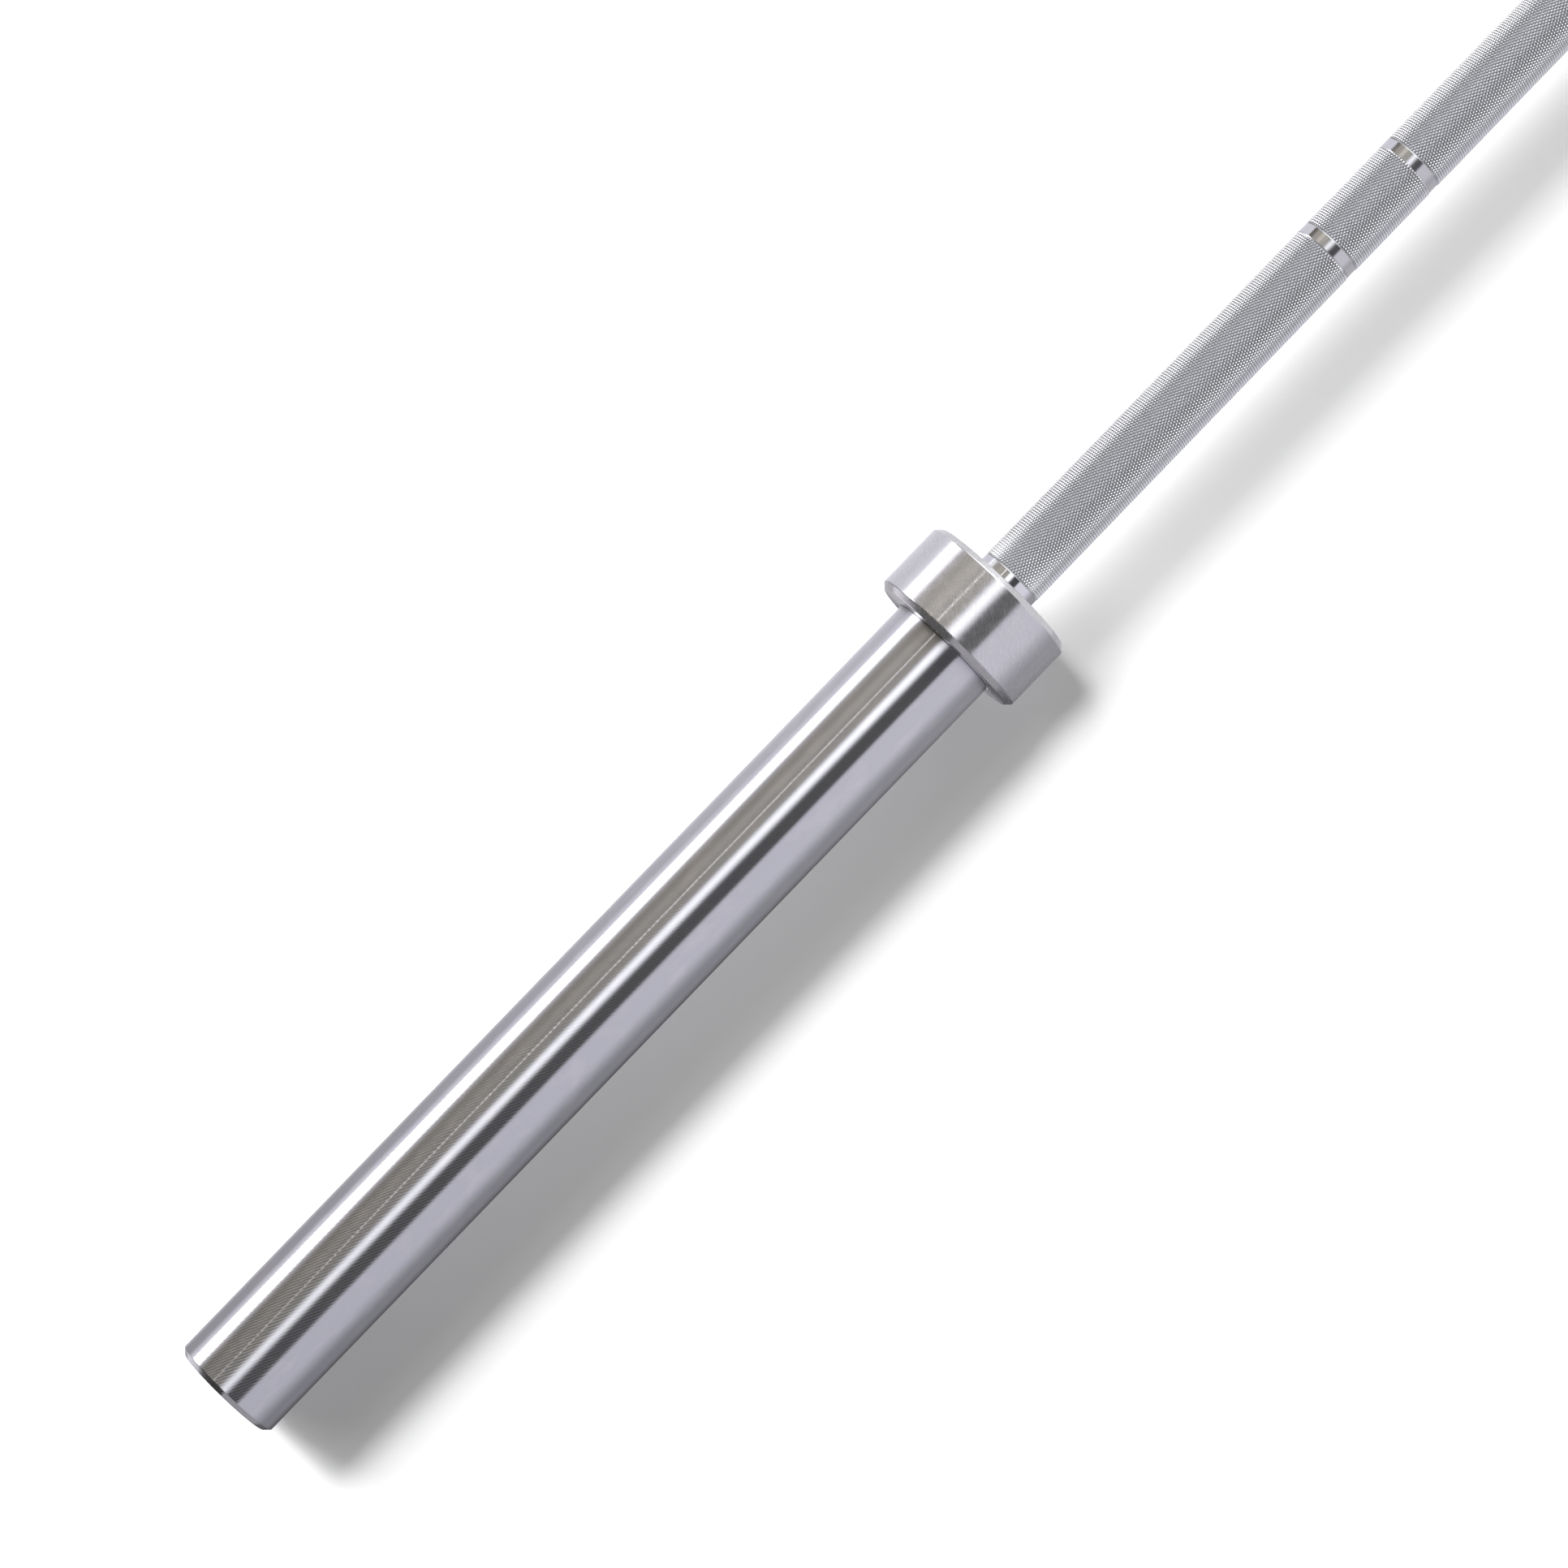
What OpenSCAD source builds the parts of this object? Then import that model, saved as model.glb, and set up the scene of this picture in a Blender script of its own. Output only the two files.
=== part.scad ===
// Olympic barbell with two free-turning sleeves on bronze bushings.
// Millimetres. The bar lies along X, centred on the origin, with its axis on the X axis.
// Each end is drawn once, along +X, and mirrored for the left.

/* [Shaft] */
// Length of bar between the two collars
grip_len = 1310; // [1100:10:1400]
// Diameter of the smooth, unknurled bar
shaft_d = 28.5; // [27.5:0.5:31]
// Height of the knurl's crests above the smooth bar
knurl_rise = 0.35; // [0.1:0.05:0.5]
// Smooth length left at the middle of the bar
middle_len = 420; // [200:10:600]
// Smooth neck between each collar and the knurl
neck_len = 5.7; // [2:0.1:20]
// Collar to the middle of the outer ring mark
outer_mark_at = 197.5; // [120:0.5:220]
// Collar to the middle of the inner ring mark
inner_mark_at = 247.5; // [230:0.5:300]
// Width of each smooth ring mark
mark_w = 5; // [2:0.5:8]
// Slope at the edges of each knurled stretch
knurl_edge = 0.4; // [0.2:0.1:1]

/* [Sleeve] */
// Outside diameter of the sleeve that the plates slide on
sleeve_d = 50; // [49:0.5:52]
// Length of sleeve outside the collar
sleeve_len = 432; // [200:1:450]
// Chamfer round the sleeve's outer end
sleeve_chamfer = 2.4; // [0.5:0.1:3]
// Chamfer at the mouth of each bore
mouth_chamfer = 0.6; // [0.2:0.1:1]

/* [Collar] */
// Outside diameter of the collar that stops the plates
collar_d = 74.5; // [64:0.5:90]
// Width of the collar
collar_w = 35; // [20:1:50]
// Chamfer round both of the collar's edges
collar_chamfer = 2.5; // [0.5:0.1:3]
// Radial step down from the sleeve to the seat that the collar is shrunk on
seat_step = 1; // [0.5:0.25:2]
// Radial gap between the sleeve and the collar's face, past the chamfer in the collar's bore
shoulder_gap = 0.2; // [0.1:0.05:0.4]

/* [Bearings] */
// Diameter of the turned-down journals inside the sleeves
journal_d = 26; // [24:0.5:27]
// Radial running clearance of the journal in its bushings
bushing_clearance = 0.05; // [0.02:0.01:0.08]
// Wall of the bronze bushings
bushing_wall = 4; // [2:0.25:4.5]
// Length of each bushing
bushing_len = 50; // [20:1:80]
// Chamfer at the bushings' edges
bushing_chamfer = 0.6; // [0.2:0.1:1]
// Width of the oil groove round the middle of each bushing's bore
oil_groove_w = 3; // [1:0.5:6]
// Depth of that oil groove
oil_groove_depth = 0.8; // [0.2:0.1:1.5]
// Thickness of the bronze thrust washers
thrust_t = 2; // [1:0.25:3]
// Radial clearance of washers on the journal and inside the sleeve
washer_clearance = 0.3; // [0.1:0.05:0.6]
// End float left between the sleeve's bearings and each thrust washer
end_float = 0.3; // [0.1:0.05:0.5]

/* [Retaining stack] */
// Radial wall of sleeve bore past the bushing, round the washers
stack_step = 2; // [1:0.25:2.5]
// Thickness of the steel washer under the shaft's retaining ring
washer_t = 2; // [1:0.25:3]
// Thickness of the wave washer's sheet
wave_t = 0.6; // [0.4:0.1:1]
// Free height of the wave washer
wave_h = 2; // [1.4:0.1:3]
// Number of waves round the wave washer
wave_count = 3; // [2:1:5]
// Radial width of the wave washer
wave_w = 4; // [3:0.25:5]
// Thickness of the shaft's retaining ring
ring_t = 1.2; // [1:0.1:1.75]
// Radial width of the shaft's retaining ring opposite its gap
ring_w = 3.1; // [2.5:0.1:3.5]
// How much thinner that ring is on each side of its gap
ring_taper = 1; // [0.2:0.1:1.5]
// Diameter of the ring's lugs
ring_lug_d = 4.4; // [3.6:0.1:4.8]
// Diameter of the eyes in its lugs
ring_eye_d = 2; // [1:0.1:2.5]
// Radial depth of the groove that it snaps into
ring_groove_depth = 0.55; // [0.4:0.05:0.9]
// Play between a retaining ring and its groove
ring_play = 0.1; // [0.05:0.05:0.2]
// Length of shaft beyond its retaining ring
tip_len = 4; // [2:0.5:8]
// Chamfer at the shaft's tips
tip_chamfer = 1.5; // [0.5:0.1:2]

/* [Dust seal] */
// Depth of the seal's outer face behind the collar's inner face
seal_inset = 1; // [0.5:0.25:3]
// Width of the seal
seal_w = 4; // [3:0.25:6]
// Gap between the seal's lip and the shaft
lip_gap = 0.15; // [0.1:0.05:0.3]
// Length of full-diameter shaft past the seal, before its shoulder
shoulder_past = 1; // [0.5:0.25:3]

/* [End cap] */
// Thickness of the end cap
cap_t = 4; // [3:0.25:6]
// Radial wall of sleeve bore that the cap seats on
cap_seat = 1; // [0.5:0.25:1.5]
// Radial gap round the end cap
cap_gap = 0.1; // [0.05:0.05:0.3]
// Depth of the shallow dish in the cap's face
dish_depth = 1; // [0.5:0.1:1.5]
// Width of the raised rim round the dish
rim_w = 5; // [4.5:0.25:8]
// Width of the dish's sloping side
dish_slope = 1.2; // [0.5:0.1:3]
// Space between the shaft's tip and the cap
tip_gap = 4; // [2:0.5:10]
// Depth of the cap's retaining ring behind the sleeve's end
cap_inset = 2.5; // [2:0.25:6]
// Thickness of the cap's retaining ring
cap_ring_t = 1.75; // [1.2:0.05:2]
// Radial width of the cap's retaining ring opposite its gap
cap_ring_w = 3.6; // [2.8:0.1:4]
// How much thinner that ring is on each side of its gap
cap_ring_taper = 1.2; // [0.2:0.1:1.6]
// Diameter of the ring's lugs
cap_lug_d = 4.8; // [4:0.1:5.4]
// Diameter of the eyes in its lugs
cap_eye_d = 2; // [1:0.1:2.5]
// Radial depth of the groove that it snaps into
cap_groove_depth = 1.1; // [0.8:0.05:1.3]

/* [Hidden] */

round_faces = 96;
lug_faces = 32;
steps_per_wave = 24;
ring_lug_angle = 16;
ring_gap_angle = 8;
cap_lug_angle = 12;
cap_gap_angle = 5;
steel = [0.76, 0.76, 0.80];
bright_steel = [0.68, 0.69, 0.70];
bronze = [0.72, 0.52, 0.26];
rubber = [0.10, 0.10, 0.11];
spring_steel = [0.35, 0.36, 0.38];

// Radii, from the journal outwards
shaft_r = shaft_d / 2;
crest_r = shaft_r + knurl_rise;
journal_r = journal_d / 2;
sleeve_r = sleeve_d / 2;
collar_r = collar_d / 2;
seat_r = sleeve_r - seat_step;
collar_mouth_r = sleeve_r + shoulder_gap;
bushing_in_r = journal_r + bushing_clearance;
bushing_out_r = bushing_in_r + bushing_wall;
stack_r = bushing_out_r + stack_step;
cap_bore_r = stack_r + cap_seat;
washer_in_r = journal_r + washer_clearance;
washer_out_r = stack_r - washer_clearance;
ring_groove_r = journal_r - ring_groove_depth;
cap_groove_r = cap_bore_r + cap_groove_depth;

// Places along the right-hand half of the bar, from the middle outwards
knurl_in_x = middle_len / 2;
knurl_out_x = grip_len / 2 - neck_len;
collar_in_x = grip_len / 2;
inner_mark_x = collar_in_x - inner_mark_at;
outer_mark_x = collar_in_x - outer_mark_at;
collar_out_x = collar_in_x + collar_w;
collar_mouth_x = collar_out_x - (collar_mouth_r - seat_r);
sleeve_end_x = collar_out_x + sleeve_len;

// The inner bearing: seal, shoulder of the shaft, thrust washer, bushing
seal_x = collar_in_x + seal_inset;
shoulder_x = seal_x + seal_w + shoulder_past;
inner_thrust_x = shoulder_x;
inner_bushing_x = inner_thrust_x + thrust_t + end_float;

// The outer end, from the sleeve's end inwards: cap ring, cap, shaft tip, ring, washers, bushing
cap_groove_out_x = sleeve_end_x - cap_inset;
cap_ring_x = cap_groove_out_x - ring_play - cap_ring_t;
cap_x = cap_ring_x - cap_t;
tip_x = cap_x - tip_gap;
ring_groove_out_x = tip_x - tip_len;
ring_x = ring_groove_out_x - ring_t;
washer_x = ring_x - washer_t;
wave_x = washer_x - wave_h;
outer_thrust_x = wave_x - thrust_t;
stack_floor_x = outer_thrust_x - end_float;
outer_bushing_x = stack_floor_x - bushing_len;

// A solid turned about the X axis from [radius, x] points
module turned(points) {
    rotate([0, 90, 0]) rotate_extrude($fn = round_faces) polygon(points);
}

// A plain ring with its inner face at x and its four edges broken
module turned_ring(x, length, in_r, out_r, edge) {
    turned([[in_r + edge, x], [out_r - edge, x], [out_r, x + edge],
            [out_r, x + length - edge], [out_r - edge, x + length],
            [in_r + edge, x + length], [in_r, x + length - edge], [in_r, x + edge]]);
}

// A flat outline in the YZ plane, pushed out along X from x
module plate(x, thickness) {
    translate([x, 0, 0]) rotate([90, 0, 90]) linear_extrude(height = thickness) children();
}

module on_right() {
    children();
}

module on_left() {
    mirror([1, 0, 0]) children();
}

// One raised, knurled stretch of the half bar, as [radius, x] points
function knurled(from_x, to_x) = [
    [shaft_r, from_x], [crest_r, from_x + knurl_edge],
    [crest_r, to_x - knurl_edge], [shaft_r, to_x]
];

// The bar's outline from its middle to its right tip
half_bar = concat(
    knurled(knurl_in_x, inner_mark_x - mark_w / 2),
    knurled(inner_mark_x + mark_w / 2, outer_mark_x - mark_w / 2),
    knurled(outer_mark_x + mark_w / 2, knurl_out_x),
    [[shaft_r, shoulder_x], [journal_r, shoulder_x],
     [journal_r, ring_x - ring_play], [ring_groove_r, ring_x - ring_play],
     [ring_groove_r, ring_groove_out_x], [journal_r, ring_groove_out_x],
     [journal_r, tip_x - tip_chamfer], [journal_r - tip_chamfer, tip_x], [0, tip_x]]
);

// Solid steel bar: knurled grips, two smooth ring marks a side, journals and ring grooves
module shaft() {
    last = len(half_bar) - 1;
    left_half = [for (i = [0 : last]) [half_bar[last - i][0], -half_bar[last - i][1]]];
    color(bright_steel) turned(concat(left_half, half_bar));
}

// Tube that the plates slide on, turned down where it carries the collar, and bored for its
// seal, bushings, washers and cap
module sleeve() {
    color(steel) turned([
        [seat_r, collar_in_x], [seat_r, collar_out_x],
        [sleeve_r, collar_out_x], [sleeve_r, sleeve_end_x - sleeve_chamfer],
        [sleeve_r - sleeve_chamfer, sleeve_end_x],
        [cap_bore_r + mouth_chamfer, sleeve_end_x],
        [cap_bore_r, sleeve_end_x - mouth_chamfer],
        [cap_bore_r, cap_groove_out_x], [cap_groove_r, cap_groove_out_x],
        [cap_groove_r, cap_ring_x], [cap_bore_r, cap_ring_x],
        [cap_bore_r, cap_x], [stack_r, cap_x],
        [stack_r, stack_floor_x], [bushing_out_r, stack_floor_x],
        [bushing_out_r, inner_bushing_x], [stack_r, inner_bushing_x],
        [stack_r, collar_in_x + mouth_chamfer], [stack_r + mouth_chamfer, collar_in_x]]);
}

// Heavy ring shrunk on the sleeve's seat, its bore chamfered next to the shoulder: it stops the plates
module collar() {
    color(steel) turned([
        [seat_r, collar_in_x], [collar_r - collar_chamfer, collar_in_x],
        [collar_r, collar_in_x + collar_chamfer], [collar_r, collar_out_x - collar_chamfer],
        [collar_r - collar_chamfer, collar_out_x],
        [collar_mouth_r, collar_out_x], [seat_r, collar_mouth_x]]);
}

// Moulded rubber ring that keeps grit out of the inner bushing, its lip close round the bar
module dust_seal() {
    lip_r = shaft_r + lip_gap;
    body_r = (lip_r + stack_r) / 2;
    quarter_w = seal_w / 4;
    color(rubber) turned([
        [stack_r, seal_x], [body_r, seal_x], [lip_r, seal_x + quarter_w],
        [lip_r, seal_x + 2 * quarter_w], [body_r, seal_x + 3 * quarter_w],
        [body_r, seal_x + seal_w], [stack_r, seal_x + seal_w]]);
}

// Plain bronze bush with an oil groove round the middle of its bore
module bushing(x) {
    middle = x + bushing_len / 2;
    half_w = oil_groove_w / 2;
    color(bronze) difference() {
        turned_ring(x, bushing_len, bushing_in_r, bushing_out_r, bushing_chamfer);
        turned([
            [journal_r, middle - half_w], [bushing_in_r, middle - half_w],
            [bushing_in_r + oil_groove_depth, middle], [bushing_in_r, middle + half_w],
            [journal_r, middle + half_w]]);
    }
}

// Flat washer on the journal, free inside the sleeve
module washer(x, thickness) {
    edge = thickness / 8;
    turned_ring(x, thickness, washer_in_r, washer_out_r, edge);
}

// Spring washer waved round its circle: x = middle + rise * sin(waves * angle)
module wave_washer() {
    steps = wave_count * steps_per_wave;
    play = ring_play / 2;
    rise = (wave_h - wave_t) / 2 - play;
    in_r = washer_in_r;
    out_r = washer_in_r + wave_w;
    middle = wave_x + wave_h / 2;
    points = [for (i = [0 : steps - 1], corner = [[in_r, -1], [out_r, -1], [out_r, 1], [in_r, 1]])
        let (a = 360 * i / steps)
        [middle + rise * sin(wave_count * a) + corner[1] * wave_t / 2,
         corner[0] * cos(a), corner[0] * sin(a)]];
    faces = [for (i = [0 : steps - 1], c = [0 : 3], half = [0, 1])
        let (here = 4 * i, next = 4 * ((i + 1) % steps), d = (c + 1) % 4)
        half == 0 ? [here + c, here + d, next + d] : [here + c, next + d, next + c]];
    color(spring_steel) polyhedron(points = points, faces = faces);
}

// Two circles, one each side of the top, for a retaining ring's lugs or their eyes
module pair_at(angle, radius, diameter) {
    for (side = [-1, 1])
        rotate(90 + side * angle) translate([radius, 0]) circle(d = diameter, $fn = lug_faces);
}

// Wedge from the centre up past the radius, for a retaining ring's gap
module gap_wedge(angle, radius) {
    reach = 1.2 * radius;
    polygon([[0, 0], [-reach * tan(angle), reach], [reach * tan(angle), reach]]);
}

// Outline of an outside retaining ring: thickest opposite its gap, its two lugs pointing outwards
module outside_ring_outline() {
    shift = ring_taper / 2;
    lug_at = ring_groove_r + ring_lug_d / 2;
    difference() {
        union() {
            translate([0, -shift]) circle(r = ring_groove_r + ring_w - shift, $fn = round_faces);
            pair_at(ring_lug_angle, lug_at, ring_lug_d);
        }
        circle(r = ring_groove_r, $fn = round_faces);
        pair_at(ring_lug_angle, lug_at, ring_eye_d);
        gap_wedge(ring_gap_angle, stack_r);
    }
}

// Outline of an inside retaining ring: thickest opposite its gap, its two lugs pointing inwards
module inside_ring_outline() {
    shift = cap_ring_taper / 2;
    out_r = cap_groove_r - ring_play / 2;
    lug_at = out_r - cap_lug_d / 2;
    difference() {
        circle(r = out_r, $fn = round_faces);
        difference() {
            translate([0, shift]) circle(r = out_r - cap_ring_w + shift, $fn = round_faces);
            pair_at(cap_lug_angle, lug_at, cap_lug_d);
        }
        pair_at(cap_lug_angle, lug_at, cap_eye_d);
        gap_wedge(cap_gap_angle, sleeve_r);
    }
}

// Round cap over the shaft's tip, dished on its outer face
module end_cap() {
    out_r = cap_bore_r - cap_gap;
    edge = cap_t / 8;
    face_x = cap_x + cap_t;
    color(steel) turned([
        [0, cap_x], [out_r - edge, cap_x], [out_r, cap_x + edge],
        [out_r, face_x - edge], [out_r - edge, face_x], [out_r - rim_w, face_x],
        [out_r - rim_w - dish_slope, face_x - dish_depth], [0, face_x - dish_depth]]);
}

module inner_thrust_washer() color(bronze) washer(inner_thrust_x, thrust_t);
module inner_bushing() bushing(inner_bushing_x);
module outer_bushing() bushing(outer_bushing_x);
module outer_thrust_washer() color(bronze) washer(outer_thrust_x, thrust_t);
module retaining_washer() color(steel) washer(washer_x, washer_t);
module shaft_retaining_ring() color(spring_steel) plate(ring_x, ring_t) outside_ring_outline();
module cap_retaining_ring() color(spring_steel) plate(cap_ring_x, cap_ring_t) inside_ring_outline();

shaft();

on_left() sleeve();  // left_sleeve
on_left() collar();  // left_collar
on_left() dust_seal();  // left_dust_seal
on_left() inner_thrust_washer();  // left_inner_thrust_washer
on_left() inner_bushing();  // left_inner_bushing
on_left() outer_bushing();  // left_outer_bushing
on_left() outer_thrust_washer();  // left_outer_thrust_washer
on_left() wave_washer();  // left_wave_washer
on_left() retaining_washer();  // left_retaining_washer
on_left() shaft_retaining_ring();  // left_shaft_retaining_ring
on_left() end_cap();  // left_end_cap
on_left() cap_retaining_ring();  // left_cap_retaining_ring

on_right() sleeve();  // right_sleeve
on_right() collar();  // right_collar
on_right() dust_seal();  // right_dust_seal
on_right() inner_thrust_washer();  // right_inner_thrust_washer
on_right() inner_bushing();  // right_inner_bushing
on_right() outer_bushing();  // right_outer_bushing
on_right() outer_thrust_washer();  // right_outer_thrust_washer
on_right() wave_washer();  // right_wave_washer
on_right() retaining_washer();  // right_retaining_washer
on_right() shaft_retaining_ring();  // right_shaft_retaining_ring
on_right() end_cap();  // right_end_cap
on_right() cap_retaining_ring();  // right_cap_retaining_ring
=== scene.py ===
from math import cos, pi, radians, sin

import bpy
import numpy as np
from mathutils import Matrix, Vector


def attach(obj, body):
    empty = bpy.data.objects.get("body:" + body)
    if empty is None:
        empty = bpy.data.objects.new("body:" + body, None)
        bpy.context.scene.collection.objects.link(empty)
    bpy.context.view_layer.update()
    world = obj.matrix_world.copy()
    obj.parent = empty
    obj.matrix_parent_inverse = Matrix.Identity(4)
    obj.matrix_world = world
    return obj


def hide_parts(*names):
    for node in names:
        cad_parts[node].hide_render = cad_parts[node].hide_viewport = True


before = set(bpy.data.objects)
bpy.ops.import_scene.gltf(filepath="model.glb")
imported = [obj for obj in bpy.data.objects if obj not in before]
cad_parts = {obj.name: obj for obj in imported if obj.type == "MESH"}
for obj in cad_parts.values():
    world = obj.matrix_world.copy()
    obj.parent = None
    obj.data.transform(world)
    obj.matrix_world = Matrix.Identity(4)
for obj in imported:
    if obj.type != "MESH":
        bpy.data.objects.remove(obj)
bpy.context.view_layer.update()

# Camera: 2.4 m straight above the left sleeve, rolled so that the bar climbs from the lower left
# corner to the upper right. Its place, aim, roll and lens are fitted to the bar's edges.
CAMERA_PLACE = Vector((-0.8868, 0.0, 2.4354))
CAMERA_AIM = Vector((-0.778, 0.0083, 0.0))
CAMERA_ROLL = radians(45.98)
CAMERA_LENS = 133.7
CAMERA_SENSOR = 36.0
CAMERA_SEES = (0.05, 500.0)


def placed(name, data):
    """New object in the scene, at the origin."""
    made = bpy.data.objects.new(name, data)
    bpy.context.scene.collection.objects.link(made)
    return made


back = (CAMERA_PLACE - CAMERA_AIM).normalized()
along_bar = (Vector((1, 0, 0)) - back * back.x).normalized()
across_bar = back.cross(along_bar)
right = along_bar * cos(CAMERA_ROLL) - across_bar * sin(CAMERA_ROLL)
up = along_bar * sin(CAMERA_ROLL) + across_bar * cos(CAMERA_ROLL)

camera_data = bpy.data.cameras.new("camera")
camera_data.lens = CAMERA_LENS
camera_data.sensor_width = CAMERA_SENSOR
camera_data.clip_start, camera_data.clip_end = CAMERA_SEES
camera = placed("camera", camera_data)
camera.matrix_world = Matrix((
    (right.x, up.x, back.x, CAMERA_PLACE.x),
    (right.y, up.y, back.y, CAMERA_PLACE.y),
    (right.z, up.z, back.z, CAMERA_PLACE.z),
    (0, 0, 0, 1)))
bpy.context.scene.camera = camera
bpy.context.scene.view_settings.view_transform = "Standard"

# Studio room: what the polished steel mirrors. Long soft panels run beside the bar, each between
# two angles from straight overhead, measured in the plane across the bar (minus is the +Y side),
# and from one slant along the bar to another (minus leans towards the left end).
ROOM_COLOUR = (0.35, 0.34, 0.37)
BACKDROP_COLOUR = (1.0, 1.0, 1.0)
ALL_ALONG = (-2.0, 2.0)
SLANT_SOFT = 0.05
ROOM_PANELS = (
    # what, angles, softness of both edges, slants (-2 and 2 lie past the ends), radiance
    ("paper, window side", (-190, -104), (4, 4), ALL_ALONG, (0.36, 0.35, 0.38)),
    ("paper, far edge", (-190, -150), (4, 4), ALL_ALONG, (0.55, 0.54, 0.57)),
    ("paper, brighter part", (-190, -104), (4, 4), (0.02, 2), (0.90, 0.88, 0.97)),
    ("paper, far part", (-190, -104), (4, 4), (0.28, 2), (0.85, 0.85, 0.90)),
    ("paper by the window", (-111, -88), (8, 3), ALL_ALONG, (0.92, 0.90, 1.0)),
    ("warm grey wall", (-90, -14), (3, 4), ALL_ALONG, (0.15, 0.137, 0.12)),
    ("warm wall, lit part", (-74, -14), (8, 4), (0.02, 2), (0.50, 0.465, 0.42)),
    ("wall beside the window", (-82, -68), (3, 7), (-2, 0.1), (0.66, 0.64, 0.67)),
    ("window", (-97.5, -76.5), (4, 5), (-2, 0.07), (4.4, 4.4, 4.6)),
    ("dark ceiling", (3, 40), (4, 4), ALL_ALONG, (0.085, 0.085, 0.09)),
    ("wall, brightest part", (-52, -38), (5, 3), (0.12, 0.3), (0.84, 0.79, 0.72)),
    ("wall by the lamp", (-36, -17), (3, 3), (0.12, 0.3), (0.46, 0.44, 0.41)),
    ("overhead lamp", (-8.5, 4.0), (6, 8), (-2, 0.13), (0.84, 0.85, 0.91)),
    ("overhead lamp, middle", (-11.2, 2.0), (5, 7), (-0.02, 0.13), (2.5, 2.5, 2.6)),
    ("overhead lamp, dull end", (-26.0, -8.0), (3, 5), (-2, -0.06), (0.15, 0.14, 0.12)),
    ("overhead lamp, narrow part", (-14.5, -3.5), (5, 8), (0.13, 0.24), (1.2, 1.21, 1.28)),
    ("overhead lamp, bright end", (-13.0, 1.5), (5, 6.5), (0.24, 2), (3.2, 3.2, 3.4)),
    ("overhead lamp, far end", (-22.0, 0.0), (8, 10), (0.50, 2), (3.6, 3.6, 3.8)),
    ("thin lamp", (-30.4, -29.4), (0.6, 0.6), (0.0, 0.13), (5.5, 5.5, 5.5)),
    ("pale board", (33, 130), (2.5, 10), ALL_ALONG, (0.57, 0.57, 0.655)),
    ("pale board, lit part", (32, 130), (2.5, 10), (0.02, 2), (1.05, 1.04, 1.17)),
    ("pale board, cut-off end", (28, 35.5), (2, 2), (-2, -0.05), (0.085, 0.085, 0.09)),
    ("pale board, duller part", (33, 130), (2.5, 10), (0.13, 0.30), (0.74, 0.73, 0.80)),
    ("pale board, far part", (33, 130), (2.5, 10), (0.38, 2), (0.98, 0.97, 1.05)),
    ("paper in shade", (95.5, 190), (22, 5), ALL_ALONG, (0.28, 0.28, 0.31)),
    ("paper under the bar", (145, 190), (16, 5), ALL_ALONG, (0.12, 0.12, 0.13)),
    ("paper past the shade", (95.5, 190), (22, 5), (0.1, 2), (0.60, 0.595, 0.63)),
    ("left end wall, window side", (-190, -126), (5, 6), (-2, -0.45), (1.0, 0.98, 1.05)),
    ("left end wall, middle", (-126, 2), (6, 6), (-2, -0.45), (0.035, 0.033, 0.033)),
    ("left end wall, foot", (-190, -126), (5, 6), (-2, -0.82), (0.035, 0.033, 0.033)),
    ("left end wall, board side", (2, 190), (6, 5), (-2, -0.6), (0.44, 0.43, 0.46)),
    ("right end wall", (-190, 190), (1, 1), (0.6, 2), (0.9, 0.9, 0.93)),
    ("right end wall, lit part", (-75, 0), (20, 10), (0.52, 2), (2.6, 2.6, 2.7)),
)


def node(tree, kind, inputs=None, **settings):
    """Adds a shader node, applies its settings, and fills its inputs: a socket is linked in,
    anything else becomes the input's value."""
    made = tree.nodes.new("ShaderNode" + kind)
    for key, value in settings.items():
        setattr(made, key, value)
    for key, value in (inputs or {}).items():
        if isinstance(value, bpy.types.NodeSocket):
            tree.links.new(value, made.inputs[key])
        else:
            made.inputs[key].default_value = value
    return made


def sums(tree, operation, *values):
    """One Math node over sockets or numbers."""
    return node(tree, "Math", dict(enumerate(values)), operation=operation).outputs[0]


def colour(value):
    """A colour as a shader input takes it: a socket as it is, and three numbers with alpha 1."""
    return value if isinstance(value, bpy.types.NodeSocket) else (*value, 1.0)


def mixed(tree, factor, first, second):
    """Colour first where factor is 0, second where it is 1."""
    mix = node(tree, "Mix", {0: factor, 6: colour(first), 7: colour(second)}, data_type="RGBA")
    return mix.outputs[2]


def step_up(tree, value, low, high):
    """0 below low, 1 above high, and a smooth step between them."""
    return node(tree, "MapRange", {0: value, 1: low, 2: high, 3: 0.0, 4: 1.0},
                interpolation_type="SMOOTHSTEP").outputs[0]


def between(tree, value, low, high, soft_low, soft_high):
    """1 between low and high and 0 outside, each edge a smooth step of its own half-width."""
    rise = step_up(tree, value, low - soft_low, low + soft_low)
    fall = step_up(tree, value, high - soft_high, high + soft_high)
    return sums(tree, "MULTIPLY", rise, sums(tree, "SUBTRACT", 1.0, fall))


world = bpy.data.worlds.new("studio")
bpy.context.scene.world = world
world.use_nodes = True
world.cycles_visibility.diffuse = False
sky = world.node_tree
sky.nodes.clear()
heading = node(sky, "SeparateXYZ", {0: node(sky, "TexCoord").outputs["Generated"]}).outputs
towards_window = sums(sky, "MULTIPLY", heading[1], -1.0)
angle = sums(sky, "DEGREES", sums(sky, "ARCTAN2", towards_window, heading[2]))
slant = heading[0]
room = ROOM_COLOUR
for _, (low, high), soft, (start, end), radiance in ROOM_PANELS:
    shape = between(sky, angle, low, high, *soft)
    if (start, end) != ALL_ALONG:
        shape = sums(sky, "MULTIPLY", shape, between(sky, slant, start, end, SLANT_SOFT, SLANT_SOFT))
    room = mixed(sky, shape, room, radiance)
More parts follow.
